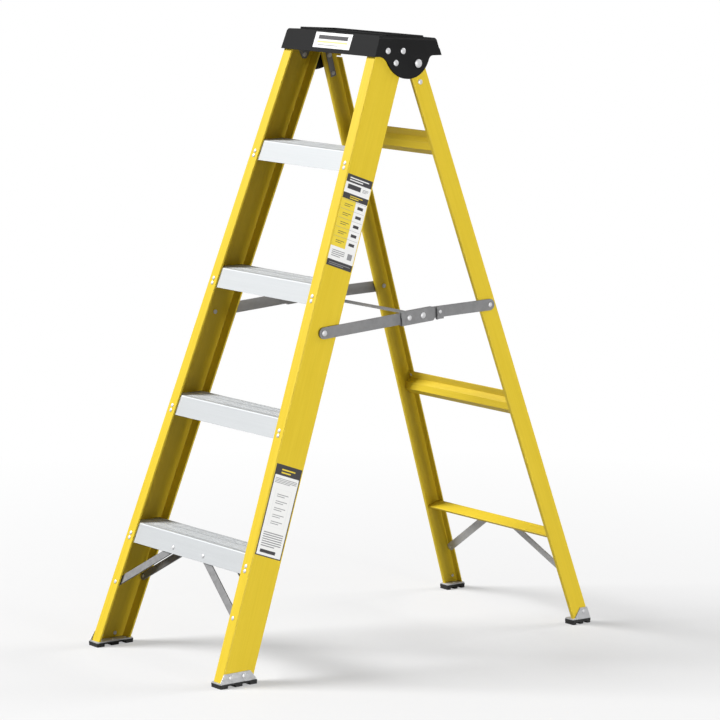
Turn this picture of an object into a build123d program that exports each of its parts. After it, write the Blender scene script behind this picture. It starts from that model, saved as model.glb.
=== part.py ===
"""Fibreglass platform step ladder: a raked front frame with four aluminium treads and a moulded
top cap, a lighter rear frame hinged under the cap, and two folding spreaders joined by a tie bar.

Frame: +Z up, floor at z = 0, the climber stands on the -Y side and climbs towards +Y, +X is the
climber's right. The ladder is drawn open, standing on its four feet. Right-hand pieces are drawn
and then mirrored in the plane x = 0. All sizes are in millimetres.
"""
from build123d import *
from math import atan, atan2, cos, degrees, radians, sqrt, tan
import os

# ---------------------------------------------------------------- driving dimensions
# Front stiles: C-channels, open side inwards
FRONT_HALF_WIDTH = 257.8    # outer face of the web at floor level
FRONT_TAPER = 0.0647        # how far each side comes in per mm of height
FRONT_SLOPE = 0.3603        # how far the stile leans back per mm of height (19.8 degrees)
FRONT_TOE = -534.0          # y of the front edge, run down to the floor
FRONT_FLANGE = 30.0
FRONT_DEPTH = 80.0
FRONT_WALL = 4.0
FRONT_TOP = 1376.0

# Rear stiles: lighter channels with a short front lip
REAR_HALF_WIDTH = 246.5
REAR_TAPER = 0.0640
REAR_SLOPE = 0.3333         # leans forward per mm of height (18.4 degrees)
REAR_TOE = 490.5            # y of the front edge, run down to the floor
REAR_LIP = 8.0
REAR_FLANGE = 19.0
REAR_DEPTH = 45.0
REAR_WALL = 3.0
REAR_RIVET_LINE = 11.0   # rivet line, in from the outer face of the web

# Treads
TREADS = 4
TREAD_PITCH = 286.75        # vertical; 304.8 measured along the stile
TREAD_1_BOTTOM = 236.2
TREAD_HEIGHT = 44.0
TREAD_WALL = 2.5
TREAD_DECK = 3.4
TREAD_NOSE_RADIUS = 4.0
TREAD_END_GAP = 1.8
TREAD_RIVETS = (10.0, 20.5)     # heights above the apron's lower edge
TREAD_GROOVES = ((9.0, 3.4), (43.0, 4.2), (64.0, 2.6))  # distance behind the nose, and width
TREAD_GROOVE_DEPTH = 1.8
TREAD_RIBS = (2.5, 1.0, 0.35)   # pitch, width and depth of the fine lines between the grooves
TREAD_RIB_START = 8.0

# Diagonal braces
BRACE_WIDTH = 18.0
BRACE_WALL = 3.0
TREAD_BRACE_TOP = (58.0, 250.5)      # x and height of its rivets
TREAD_BRACE_FOOT = (231.0, 146.0)
REAR_BRACE_TOP = (47.5, 210.5)       # x and distance up the rear frame's face
REAR_BRACE_FOOT = (227.0, 98.5)

# Top cap
CAP_BOTTOM = 1346.5         # height of the front edge's lower side
CAP_BOTTOM_FALL = 0.018     # how far the underside drops per mm towards the rear
CAP_DECK = 1392.0           # height of the deck's front edge
CAP_DECK_FALL = 0.063       # how far the deck drops per mm towards the rear
CAP_FRONT = -54.0
CAP_REAR = 136.5
CAP_REAR_LEAN = 15.0
CAP_WALL = 3.6
CAP_BLEND = 1.0             # how far separate shapes of the moulding run into each other
CAP_EAR = 5.0
CAP_STILE_GAP = 0.3
CAP_END_RADIUS = 8.0
CAP_EDGE_RADIUS = 3.0
CAP_RIM = (165.0, 25.5, 5.0, 4.5)   # half width, distance from the front and rear edges, wall, height
CAP_RIM_RADII = (10.0, 5.5, 1.2)    # its outer and inner corners, and its rounded top
TRAY_RIBS = (36.0, 2.0, 1.0)    # pitch, half width and height of the deck's grip ribs
UNDER_RIBS = (64.0, 1.3, 16.0)  # the same for the stiffening ribs below the deck
EAR_CENTRE = (41.0, 1357.5)
EAR_RADIUS = 63.5
EAR_FRONT_FILLET = 28.0
EAR_REAR_FILLET = 13.0
EAR_OVERLAP = 12.0          # the ears run up into the cap body by this much
CAP_RIVETS = ((-16.5, 1358.5), (26.5, 1356.5), (5.0, 1331.0))
BACKING_WALL = 2.0          # plates behind the cap rivets
HINGE = (68.8, 1327.5)      # y and z of the rear frame's pivot
HINGE_STRAP = (15.0, 53.0, 12.0)    # width, and reach below and above the pivot
STRAP_WALL = 2.5
STRAP_RIVET_DROP = 45.0
HINGE_BUSH = (8.5, 0.8)     # outer radius, and end clearance

# Rear rails, set between the rear stiles
RAIL_WALL = 2.5
RAIL_BRIM_DEPTH = 42.0
RAIL_TOP_HEIGHT = 1154.0
RAIL_MIDDLE_HEIGHT = 544.0
RAIL_BOTTOM_HEIGHT = 212.0
RAIL_END_GAP = 1.7
RAIL_RIVET_DROP = 8.0       # below the rail's upper edge, measured along the stile
RAIL_BRIM_DROP = 16.0
RAIL_BEAD = ((14.0, 22.5), (21.0, 35.5))    # forward of the brim, and below its upper edge
RAIL_LIP = ((10.0, 51.0), (2.0, 51.0))
FLAT_RAIL_FRONT = 8.0       # behind the stiles' front edge
FLAT_RAIL_TUCK = (4.0, 6.0)     # how far the front edge is turned back, and down
FLAT_RAIL_DROP = 22.0

# Spreaders
SPREADER_FRONT_PIVOT = (-221.0, 748.5)
SPREADER_REAR_PIVOT = (260.0, 771.0)
SPREADER_CENTRE = (51.0, 766.3)     # a little above the line between the other two
SPREADER_WIDTH = 26.0
SPREADER_WALL = 3.0
SPREADER_FRONT_X = 211.2    # inner face of the front links
SPREADER_CENTRE_X = 204.5   # inner face of the rear links at the centre pivot
SPREADER_REAR_X = 199.2     # inner face of the rear links at the rear stiles
JOG = (86.0, 96.0)          # y where the rear link steps inwards
COVER = (-9.0, 84.0)        # y of the two ends of the hinge cover
COVER_WALL = 3.0
COVER_X = (211.2, 220.2)    # from its turned edges to its outer face
TIE_Y = 12.0
TIE_WIDTH = 18.0
TIE_WALL = 2.2
TIE_RISE = 10.0             # underside of the tie bar above the links' centre line
TIE_TURN = 11.0             # the turned ends reach this far below the centre line
STOP_TAB = (101.0, 123.0)    # y of the two ends of the stop tab
TAB_WALL = 2.2
TAB_DROP = 3.5              # how far it hangs below the link
TAB_LIP = 7.0

# Feet
FRONT_PAD = (224.0, 262.0, -536.0, -437.0)   # x and y limits
REAR_PAD = (219.0, 250.5, 481.0, 536.0)
PAD_LUGS = 3
PAD_LUG_GAP = 0.8           # between two lugs, as a share of a lug's length
PAD_LUG_INSET = 0.6
FRONT_PAD_HEIGHT = 9.0
REAR_PAD_HEIGHT = 11.0
PAD_LUG_HEIGHT = 5.5
FOOT_WALL = 2.5
FRONT_FOOT_PLATE = ((-534.0, -438.0), (-523.0, -453.0), 31.0)   # y at bottom, y at top, height
REAR_FOOT_PLATE = ((488.0, 534.5), (505.0, 526.0), 38.0)
FRONT_FOOT_RIVETS = ((-506.0, 21.5), (-470.0, 21.5))
REAR_FOOT_RIVETS = ((515.0, 29.0),)

# Fasteners
RIVET_SHANK = 2.4
RIVET_HEAD = 4.6
RIVET_RISE = 1.8
CAP_RIVET_HEAD = (6.9, 2.2)     # radius and rise
STRAP_RIVET_HEAD = 6.0
CENTRE_PIN_HEAD = (6.9, 2.2)
COVER_RIVET_HEAD = (6.0, 2.0)
REAR_PIVOT_HEAD = (5.3, 2.0)
TAB_RIVET_HEAD = (4.0, 1.6)
FRONT_FOOT_RIVET_HEAD = 5.8
PIVOT_SHANK = 3.0
FRONT_PIVOT_HEAD = (6.5, 2.2)
HINGE_BOLT_SHANK = 4.0
HINGE_BOLT_HEAD = (9.6, 3.0)
HINGE_NUT = (6.5, 3.2)      # radius and thickness of its far end
HINGE_BOLT_PROUD = 0.6      # its head stands this far off the ear, which slopes
PAD_SCREW = (1.8, 3.6, 1.5)     # shank radius, head radius and head height
PAD_SCREW_REACH = 3.0       # how far a screw goes into the rubber
PAD_SCREW_INSET = 13.0      # from the pad's inner edge
PIN_TAIL = (5.0, 1.8)       # radius and thickness of a pin's riveted end
PIN_COLLAR = 6.5
RUNNING_GAP = 0.05          # radial clearance of every pivot
FACE_GAP = 0.3              # side clearance of every pivot
WEB_LEAN = 0.5              # room for a pin's square shoulders against the sloping webs
OPEN_PIVOT_GAP = 0.5        # between the rear link and the pin's face on the rear stile

# Labels
LABEL_THICKNESS = 0.3
LABEL_WIDTH = 72.5
LABELS = {"label_upper": (999.0, 208.5), "label_lower": (381.0, 205.0)}     # height and length
CAP_LABEL = (136.0, 36.0, 8.0, 1355.8)  # width, height up the face, x of its middle, where it starts

STILE_STOCK = 1500.0        # more than the longest stile
FAR = 3000.0                # more than anything's size
X_AXIS = Vector(1, 0, 0)


# ---------------------------------------------------------------- frames of reference
def stile_plane(half_width, taper, toe, slope):
    """Local x is outward, y rearward and z up along the right-hand stile's outer front corner."""
    axis = Vector(-taper, slope, 1).normalized()
    outward = (X_AXIS - axis * axis.X).normalized()
    return Plane(origin=(half_width, toe, 0), x_dir=outward, z_dir=axis)


def face_plane(toe, slope):
    """Local x is X, y runs up the frame's front face and z points forward, out of that face."""
    up = Vector(0, slope, 1).normalized()
    return Plane(origin=(0, toe, 0), x_dir=(1, 0, 0), z_dir=(0, -up.Z, up.Y))


FRONT = stile_plane(FRONT_HALF_WIDTH, FRONT_TAPER, FRONT_TOE, FRONT_SLOPE)
REAR = stile_plane(REAR_HALF_WIDTH, REAR_TAPER, REAR_TOE, -REAR_SLOPE)
FRONT_FACE = face_plane(FRONT_TOE, FRONT_SLOPE)
REAR_FACE = face_plane(REAR_TOE, -REAR_SLOPE)
FRONT_RAKE = atan(FRONT_SLOPE)
REAR_RAKE = atan(REAR_SLOPE)


def along(height, slope, taper=0.0):
    """Distance along a stile that rises by this height."""
    return height * sqrt(1 + slope ** 2 + taper ** 2)


def web_x(plane, y, z, offset=0.0):
    """World x of the right-hand web's outer face, moved outward by offset, at a given y and z."""
    normal = plane.x_dir
    reach = (plane.origin + normal * offset).dot(normal)
    return (reach - y * normal.Y - z * normal.Z) / normal.X


# ---------------------------------------------------------------- small helpers
def mirrored(shape):
    return shape.mirror(Plane.YZ)


def pair(name, shape):
    """The right-hand piece and its left-hand mirror image, as two nodes."""
    return {name + "_right": shape, name + "_left": mirrored(shape)}


def both(shapes):
    """The given right-hand solids with their mirror images."""
    return shapes + [mirrored(shape) for shape in shapes]


def group(shapes):
    return Compound(children=[shape.solid() for shape in shapes])


def slab(plane, low, high):
    """Everything between two offsets of a right-hand stile's web plane."""
    return plane * Pos((low + high) / 2, 0, 0) * Box(high - low, 2 * FAR, 2 * FAR)


def level_slab(low, high):
    return Pos(0, 0, (low + high) / 2) * Box(2 * FAR, 2 * FAR, high - low)


def block(x0, x1, y0, y1, z0, z1):
    return Pos((x0 + x1) / 2, (y0 + y1) / 2, (z0 + z1) / 2) * Box(x1 - x0, y1 - y0, z1 - z0)


def polygon(points):
    return make_face(Polyline(*points, close=True))


def near(sketch, points):
    """The sketch's vertices that lie at these points."""
    spots = [Vector(*point) for point in points]
    return [v for v in sketch.vertices() if any((Vector(v.X, v.Y) - s).length < 0.05 for s in spots)]


def prism(points, half_length=FAR):
    """A profile of (y, z) points extruded both ways along X."""
    return Plane.YZ * extrude(polygon(points), amount=half_length, both=True)


def cylinder(point, direction, radius, back, ahead):
    """A round bar through a point, reaching back and ahead along a direction."""
    frame = Plane(origin=point, z_dir=direction)
    return frame * Pos(0, 0, (ahead - back) / 2) * Cylinder(radius, back + ahead)


def strip(plane, start, end, width, z_low, z_high):
    """A flat bar with rounded ends, between two points of a plane, as thick as its z limits."""
    run = Vector(*end) - Vector(*start)
    middle = (Vector(*start) + Vector(*end)) / 2
    outline = SlotCenterToCenter(run.length, width)
    turned = Pos(middle.X, middle.Y, z_low) * Rot(0, 0, degrees(atan2(run.Y, run.X))) * outline
    return plane * extrude(turned, amount=z_high - z_low)


# ---------------------------------------------------------------- fasteners
def head_outline(head, rise):
    """Half the outline of a low, nearly flat head with an upright edge, from its crown down."""
    edge = 0.35 * rise
    crown = ThreePointArc((0, rise), (0.66 * head, 0.84 * rise), (0.95 * head, 1.5 * edge))
    return [crown, Polyline((0.95 * head, 1.5 * edge), (head, edge), (head, 0))]


def rivet_solid(grip, shank, head, rise, tail=None, tail_rise=1.2):
    """A rivet along z: head on top of z = 0, shank down through the grip, then the tail."""
    tail = head * 0.8 if tail is None else tail
    end = -grip - tail_rise
    outline = [(head, 0), (shank, 0), (shank, -grip)]
    if tail > shank:
        outline.append((tail, -grip))
    outline += [(tail * 0.8, end), (0, end)]
    face = make_face([*head_outline(head, rise), Polyline(*outline), Line((0, end), (0, rise))])
    return revolve(Plane.XZ * face, axis=Axis.Z)


class Rivet:
    """One right-hand fastener: where it sits, which way its head points and what it clamps."""

    def __init__(self, point, direction, grip, shank=RIVET_SHANK, head=RIVET_HEAD, rise=RIVET_RISE,
                 tail=None):
        self.frame = Plane(origin=point, z_dir=direction)
        self.grip = grip
        self.shank = shank
        self.solid = self.frame * rivet_solid(grip, shank, head, rise, tail)

    def hole(self, gap=0.0):
        reach = self.grip + 8
        return self.frame * Pos(0, 0, 4 - reach / 2) * Cylinder(self.shank + gap, reach)


def drill(part, rivets, gap=0.0):
    for rivet in rivets:
        part = part - rivet.hole(gap)
    return part


# ---------------------------------------------------------------- stiles
def channel(lip, flange, depth, wall):
    """Channel section: web along y at x = 0, front flange of one length and rear of another."""
    outline = [(0, 0), (-lip, 0), (-lip, wall), (-wall, wall), (-wall, depth - wall)]
    outline += [(-flange, depth - wall), (-flange, depth), (0, depth)]
    section = polygon(outline)
    section = fillet(near(section, [(0, 0), (0, depth)]), 2.4)
    return fillet(near(section, [(-wall, wall), (-wall, depth - wall)]), 1.2)


def stile(plane, section, low, high):
    """The channel run along its plane and cut level at both ends."""
    run = 2 * STILE_STOCK
    return plane * Pos(0, 0, -STILE_STOCK / 2) * extrude(section, amount=run) & level_slab(low, high)


def front_stile():
    section = channel(FRONT_FLANGE, FRONT_FLANGE, FRONT_DEPTH, FRONT_WALL)
    return stile(FRONT, section, FRONT_PAD_HEIGHT + FOOT_WALL, FRONT_TOP)


def rear_stile():
    """Its top end is rounded about the hinge, so that it can turn inside the cap."""
    section = channel(REAR_LIP, REAR_FLANGE, REAR_DEPTH, REAR_WALL)
    bar = stile(REAR, section, REAR_PAD_HEIGHT + FOOT_WALL, HINGE[1] + 40)
    end = cylinder((0, *HINGE), X_AXIS, REAR_DEPTH / 2 + 2.0, FAR, FAR)
    return (bar & level_slab(0, HINGE[1] - 6)) + (bar & end)


# ---------------------------------------------------------------- treads
def tread_section():
    """Parallelogram channel open at the bottom: both aprons lie along the stile's flanges."""
    lean = FRONT_SLOPE
    depth = (FRONT_DEPTH - 2 * FRONT_WALL) / cos(FRONT_RAKE)
    side = TREAD_WALL / cos(FRONT_RAKE)
    inner_top = TREAD_HEIGHT - TREAD_DECK
    outline = [
        (0, 0),
        (lean * TREAD_HEIGHT, TREAD_HEIGHT),
        (depth + lean * TREAD_HEIGHT, TREAD_HEIGHT),
        (depth, 0),
        (depth - side, 0),
        (depth - side + lean * inner_top, inner_top),
        (side + lean * inner_top, inner_top),
        (side, 0),
    ]
    section = fillet(near(polygon(outline), outline[1:3]), TREAD_NOSE_RADIUS)
    top = lean * TREAD_HEIGHT
    pitch, line_width, line_depth = TREAD_RIBS
    lines = int((depth - 2 * TREAD_RIB_START) / pitch) + 1
    for i in range(lines):
        place = TREAD_RIB_START + i * pitch
        if all(abs(place - groove) > width for groove, width in TREAD_GROOVES):
            section -= Pos(top + place, TREAD_HEIGHT) * Rectangle(line_width, 2 * line_depth)
    for place, width in TREAD_GROOVES:
        section -= Pos(top + place, TREAD_HEIGHT) * Rectangle(width, 2 * TREAD_GROOVE_DEPTH)
    return section


def tread_bottom(number):
    return TREAD_1_BOTTOM + (number - 1) * TREAD_PITCH


def apron_y(height):
    """y of the treads' front apron at a given height."""
    return FRONT_TOE + FRONT_WALL / cos(FRONT_RAKE) + FRONT_SLOPE * height


def tread(number, section):
    bottom = tread_bottom(number)
    bar = Plane.YZ * extrude(section, amount=FRONT_HALF_WIDTH, both=True)
    bar = Pos(0, apron_y(bottom), bottom) * bar
    outside = slab(FRONT, -FRONT_WALL - TREAD_END_GAP, FAR)
    return bar - outside - mirrored(outside)


def flange_point(number, rise, rear=False):
    """Middle of a front stile's flange, on its outer side, beside a tread."""
    height = along(tread_bottom(number) + rise, FRONT_SLOPE, FRONT_TAPER)
    return FRONT.from_local_coords((-0.53 * FRONT_FLANGE, FRONT_DEPTH if rear else 0, height))


def tread_rivets():
    """Two rivets through each flange and apron, front and rear, on every tread."""
    forward = -FRONT.y_dir
    grip = FRONT_WALL + TREAD_WALL
    rivets = []
    for number in range(1, TREADS + 1):
        for rise in TREAD_RIVETS:
            rivets.append(Rivet(flange_point(number, rise), forward, grip))
            rear_rise = rise + FRONT_DEPTH * tan(FRONT_RAKE)
            rivets.append(Rivet(flange_point(number, rear_rise, rear=True), -forward, grip))
    return rivets


def front_face_point(x, height):
    return (x, height / cos(FRONT_RAKE))


def tread_brace(rear):
    """A flat strip from the bottom tread's apron out to the stile's flange."""
    start = front_face_point(*TREAD_BRACE_TOP)
    end = front_face_point(*TREAD_BRACE_FOOT)
    low = -FRONT_WALL - TREAD_WALL - BRACE_WALL
    if rear:
        rise = FRONT_DEPTH * tan(FRONT_RAKE)
        start, end = ((x, y + rise) for x, y in (start, end))
        low = FRONT_WALL + TREAD_WALL - FRONT_DEPTH
    return strip(FRONT_FACE, start, end, BRACE_WIDTH, low, low + BRACE_WALL)


def tread_brace_rivets():
    """Top and foot rivets of the front and rear braces on the right-hand side."""
    forward = FRONT_FACE.z_dir
    x_top, height_top = TREAD_BRACE_TOP
    x_foot, height_foot = TREAD_BRACE_FOOT
    rise = FRONT_DEPTH * tan(FRONT_RAKE)
    top_grip = TREAD_WALL + BRACE_WALL
    foot_grip = FRONT_WALL + TREAD_WALL + BRACE_WALL
    rivets = []
    for side, lift, outer in ((1, 0, 0), (-1, rise, -FRONT_DEPTH)):
        x, y = front_face_point(x_top, height_top)
        top = FRONT_FACE.from_local_coords((x, y + lift, outer - side * FRONT_WALL))
        x, y = front_face_point(x_foot, height_foot)
        foot = FRONT_FACE.from_local_coords((x, y + lift, outer))
        rivets.append(Rivet(top, forward * side, top_grip))
        rivets.append(Rivet(foot, forward * side, foot_grip))
    return rivets


# ---------------------------------------------------------------- top cap
CAP_REAR_SLOPE = CAP_REAR_LEAN / (CAP_DECK - CAP_BOTTOM)
DECK_FRONT_Y = CAP_FRONT + FRONT_SLOPE * (CAP_DECK - CAP_BOTTOM)
DECK_REAR_Y = CAP_REAR - CAP_REAR_LEAN
DECK = Plane(origin=(0, DECK_FRONT_Y, CAP_DECK), x_dir=(1, 0, 0), z_dir=(0, CAP_DECK_FALL, 1))
DECK_DEPTH = DECK_REAR_Y - DECK_FRONT_Y


def cap_outline(shrink=0.0):
    """Side view of the cap's body as (y, z) points, or of its hollow when shrunk by the wall."""
    side = shrink / cos(FRONT_RAKE)
    low = -20.0 if shrink else 0.0      # the hollow runs out through the open bottom
    front = CAP_DECK - CAP_BOTTOM - shrink
    rear = front - CAP_DECK_FALL * (DECK_REAR_Y - DECK_FRONT_Y)
    rear_low = low - CAP_BOTTOM_FALL * (CAP_REAR - CAP_FRONT)
    return [
        (CAP_FRONT + side + FRONT_SLOPE * low, CAP_BOTTOM + low),
        (CAP_FRONT + side + FRONT_SLOPE * front, CAP_BOTTOM + front),
        (CAP_REAR - side - CAP_REAR_SLOPE * rear, CAP_BOTTOM + rear),
        (CAP_REAR - side - CAP_REAR_SLOPE * rear_low, CAP_BOTTOM + rear_low),
    ]


def ear_outline():
    """The cap's side view together with the round lobe that carries the hinge."""
    body = polygon(cap_outline())
    lobe = Pos(*EAR_CENTRE) * Circle(EAR_RADIUS)
    lobe = lobe & (Pos(EAR_CENTRE[0], CAP_DECK - EAR_RADIUS * 2) * Rectangle(FAR, EAR_RADIUS * 3.5))
    shape = body + lobe
    notches = []
    for side in (-1, 1):
        reach = EAR_RADIUS
        for _ in range(4):      # where the lobe's circle meets the sloping underside
            y = EAR_CENTRE[0] + side * reach
            drop = EAR_CENTRE[1] - CAP_BOTTOM + CAP_BOTTOM_FALL * (y - CAP_FRONT)
            reach = sqrt(EAR_RADIUS ** 2 - drop ** 2)
        notches.append((EAR_CENTRE[0] + side * reach, EAR_CENTRE[1] - drop))
    shape = fillet(near(shape, notches[:1]), EAR_FRONT_FILLET)
    return fillet(near(shape, notches[1:]), EAR_REAR_FILLET)


def deck_block(x0, x1, y0, y1, low, high):
    """A box on the deck: x, distance behind the deck's front edge, and height off its surface."""
    return DECK * block(x0, x1, y0, y1, low, high)


def cap_rim():
    """A raised rim round the deck, with a shallow tray inside it."""
    half_width, inset, wall, height = CAP_RIM
    outer_radius, inner_radius, top_radius = CAP_RIM_RADII
    width, depth = 2 * half_width, DECK_DEPTH - 2 * inset
    outer = RectangleRounded(width, depth, outer_radius)
    inner = RectangleRounded(width - 2 * wall, depth - 2 * wall, inner_radius)
    ring = Pos(0, DECK_DEPTH / 2, -CAP_BLEND) * extrude(outer - inner, amount=height + CAP_BLEND)
    return DECK * fillet(ring.edges().group_by(Axis.Z)[-1], top_radius)


def cap_ribs():
    """Low grip ribs inside the tray, and deeper ribs that stiffen the deck from below."""
    _, inset, wall, _ = CAP_RIM
    near_end, far_end = inset + 2 * wall, DECK_DEPTH - inset - 2 * wall
    pitch, half, height = TRAY_RIBS
    ribs = [deck_block(i * pitch - half, i * pitch + half, near_end, far_end, -CAP_BLEND, height)
            for i in range(-3, 4)]
    pitch, half, height = UNDER_RIBS
    for i in range(-1, 3):
        x = (i - 0.5) * pitch
        ribs.append(deck_block(x - half, x + half, near_end, far_end, -height, CAP_BLEND - CAP_WALL))
    return ribs


def top_cap(rivets, bolts):
    side = CAP_STILE_GAP + CAP_EAR
    body = prism(cap_outline()) & slab(FRONT, -FAR, side) & mirrored(slab(FRONT, -FAR, side))
    deck = body.faces().sort_by(Axis.Z)[-1]
    body = fillet([e for e in deck.edges() if abs(e.center().X) > CAP_RIM[0]], CAP_END_RADIUS)
    for face in (body.faces().sort_by(Axis.Y)[0], body.faces().sort_by(Axis.Y)[-1]):
        body = fillet([e for e in face.edges() if e.center().Z > CAP_BOTTOM + 2], CAP_EDGE_RADIUS)
    hollow = prism(cap_outline(CAP_WALL))
    hollow = hollow & slab(FRONT, -FAR, CAP_STILE_GAP) & mirrored(slab(FRONT, -FAR, CAP_STILE_GAP))
    ear = Plane.YZ * extrude(ear_outline(), amount=FAR, both=True)
    ear = ear & level_slab(0, CAP_BOTTOM + EAR_OVERLAP) & slab(FRONT, CAP_STILE_GAP, side)
    cap = body - hollow + ear + mirrored(ear) + cap_rim()
    for rib in cap_ribs():
        cap += rib
    for hole in both_holes(rivets + bolts):
        cap -= hole
    return cap


def both_holes(rivets):
    return both([rivet.hole() for rivet in rivets])


def side_point(plane, y, z, offset):
    """A point on the right-hand web, moved outward by offset."""
    return Vector(web_x(plane, y, z, offset), y, z)


def cap_rivets():
    outer = CAP_STILE_GAP + CAP_EAR
    grip = outer + FRONT_WALL + BACKING_WALL
    points = [side_point(FRONT, y, z, outer) for y, z in CAP_RIVETS]
    return [Rivet(p, FRONT.x_dir, grip, RIVET_SHANK, *CAP_RIVET_HEAD) for p in points]


def cap_backing_plate():
    """Triangular steel plate behind the three rivets, on the inside of the front stile."""
    (front, front_z), (rear, rear_z), (low, low_z) = CAP_RIVETS
    margin = 10.0
    plate = prism([(front - margin, front_z + margin), (rear + margin, rear_z + margin),
                   (low + margin / 2, low_z - margin), (low - margin / 2, low_z - margin)])
    plate = plate & slab(FRONT, -FRONT_WALL - BACKING_WALL, -FRONT_WALL)
    return plate & block(0, FAR, -FAR, FAR, 0, FAR)


# ---------------------------------------------------------------- hinge between the frames
def hinge_x():
    """World x of the ear's outer face, its inner face and the rear stile's outer face."""
    outer = web_x(FRONT, *HINGE, CAP_STILE_GAP + CAP_EAR)
    inner = web_x(FRONT, HINGE[0], HINGE[1], CAP_STILE_GAP)
    return outer, inner, web_x(REAR, *HINGE)


class HingeBolt:
    """A shouldered bolt along X, from the ear through the rear stile, with its nut."""

    def __init__(self):
        outer, _, stile_face = hinge_x()
        self.face = outer + HINGE_BOLT_PROUD
        self.end = stile_face - REAR_WALL - STRAP_WALL - HINGE_BOLT_PROUD
        bolt = rivet_solid(self.face - self.end, HINGE_BOLT_SHANK, *HINGE_BOLT_HEAD, *HINGE_NUT)
        self.solid = Plane(origin=(self.face, *HINGE), z_dir=(1, 0, 0)) * bolt

    def hole(self, gap=0.0):
        return cylinder((self.face, *HINGE), (1, 0, 0), HINGE_BOLT_SHANK + gap, 40, 10)


def hinge_bush():
    """A plain bush on the bolt, which keeps the rear stile away from the ear."""
    _, inner, stile_face = hinge_x()
    radius, gap = HINGE_BUSH
    low, high = stile_face + gap, inner - gap
    ring = Circle(radius) - Circle(HINGE_BOLT_SHANK)
    return Plane(origin=(low, *HINGE), z_dir=(1, 0, 0)) * extrude(ring, amount=high - low)


def strap_point(drop, offset=0.0):
    """A point on the rear stile's web, a given distance down the stile from the hinge."""
    axis = REAR.z_dir
    y = HINGE[0] - axis.Y * drop
    z = HINGE[1] - axis.Z * drop
    return side_point(REAR, y, z, offset)


def hinge_strap():
    """Steel strap that reinforces the inside of the rear stile's web at the hinge."""
    width, below, above = HINGE_STRAP
    pivot = REAR.to_local_coords(strap_point(0))
    outline = RectangleRounded(STRAP_WALL, width, 0.6)
    bar = extrude(outline, amount=below + above)
    return REAR * Pos(-REAR_WALL - STRAP_WALL / 2, pivot.Y, pivot.Z - below) * bar


def strap_rivet():
    grip = REAR_WALL + STRAP_WALL
    return Rivet(strap_point(STRAP_RIVET_DROP), REAR.x_dir, grip, head=STRAP_RIVET_HEAD)


# ---------------------------------------------------------------- rear rails and braces
def rail_plane(height):
    """Profile plane of a rear rail: x is the depth behind the stile's front edge, y runs up it."""
    back = -REAR_FACE.z_dir
    origin = Vector(0, REAR_TOE - REAR_SLOPE * height, height)
    return Plane(origin=origin, x_dir=back, z_dir=(1, 0, 0))


def rail(plane, section):
    bar = plane * extrude(section, amount=REAR_HALF_WIDTH, both=True)
    outside = slab(REAR, -REAR_WALL - RAIL_END_GAP, FAR)
    return bar - outside - mirrored(outside)


def beaded_rail(height):
    """Upright brim at the back, a bead that stands forward of it, and a turned lower lip."""
    brim = RAIL_BRIM_DEPTH - RAIL_WALL / 2
    points = [(brim, 0), (brim, -RAIL_BRIM_DROP)]
    points += [(brim - forward, -drop) for forward, drop in RAIL_BEAD + RAIL_LIP]
    return rail(rail_plane(height), sheet(points, RAIL_WALL))


def flat_rail(height):
    """Shallow channel with its flat side up, square to the rear stiles, its front edge tucked under."""
    front, back = FLAT_RAIL_FRONT, RAIL_BRIM_DEPTH - RAIL_WALL / 2
    tuck, drop = FLAT_RAIL_TUCK
    points = [(front + tuck, -drop), (front, 0), (back, 0), (back, -FLAT_RAIL_DROP)]
    return rail(rail_plane(height), sheet(points, RAIL_WALL))


def sheet(points, wall):
    """Section of a bent sheet: one rounded bar for every straight run, joined together."""
    section = None
    for start, end in zip(points, points[1:]):
        run = Vector(*end) - Vector(*start)
        middle = (Vector(*start) + Vector(*end)) / 2
        bar = Pos(middle.X, middle.Y) * Rot(0, 0, degrees(atan2(run.Y, run.X)))
        bar = bar * SlotCenterToCenter(run.length, wall)
        section = bar if section is None else section + bar
    return section


def rear_rivets():
    """Rails to stiles, and both ends of the braces, on the right-hand side."""
    back = -REAR_FACE.z_dir
    rivets = []
    for height in (RAIL_TOP_HEIGHT, RAIL_MIDDLE_HEIGHT, RAIL_BOTTOM_HEIGHT):
        rise = along(height, REAR_SLOPE, REAR_TAPER) - RAIL_RIVET_DROP
        local = (-REAR_RIVET_LINE, REAR_DEPTH, rise)
        rivets.append(Rivet(REAR.from_local_coords(local), back, REAR_WALL + RAIL_WALL))
    top = REAR_FACE.from_local_coords((*REAR_BRACE_TOP, -RAIL_BRIM_DEPTH))
    foot = REAR_FACE.from_local_coords((*REAR_BRACE_FOOT, -REAR_DEPTH))
    rivets.append(Rivet(top, back, RAIL_WALL + BRACE_WALL))
    rivets.append(Rivet(foot, back, REAR_WALL + RAIL_WALL + BRACE_WALL))
    return rivets


def rear_brace():
    high = RAIL_WALL - RAIL_BRIM_DEPTH + BRACE_WALL
    return strip(REAR_FACE, REAR_BRACE_TOP, REAR_BRACE_FOOT, BRACE_WIDTH, high - BRACE_WALL, high)


# ---------------------------------------------------------------- feet
def foot_bracket(plane, pad, pad_height, plate):
    """Angle bracket: a sole under the stile and a trapezoid plate up the outside of its web."""
    x0, _, y0, y1 = pad
    (low_0, low_1), (high_0, high_1), top = plate
    x1 = web_x(plane, (y0 + y1) / 2, pad_height) + FOOT_WALL * 0.6
    sole = block(x0 + 1, x1, y0 + 1, y1 - 1, pad_height, pad_height + FOOT_WALL)
    sole = fillet(sole.edges().filter_by(Axis.Z), 2.0)
    outline = [(low_0, pad_height), (low_0, pad_height + 3), (high_0, top), (high_1, top)]
    outline += [(low_1, pad_height + 3), (low_1, pad_height)]
    side = prism(outline) & slab(plane, 0, FOOT_WALL) & block(0, FAR, -FAR, FAR, 0, FAR)
    return sole + side


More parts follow.
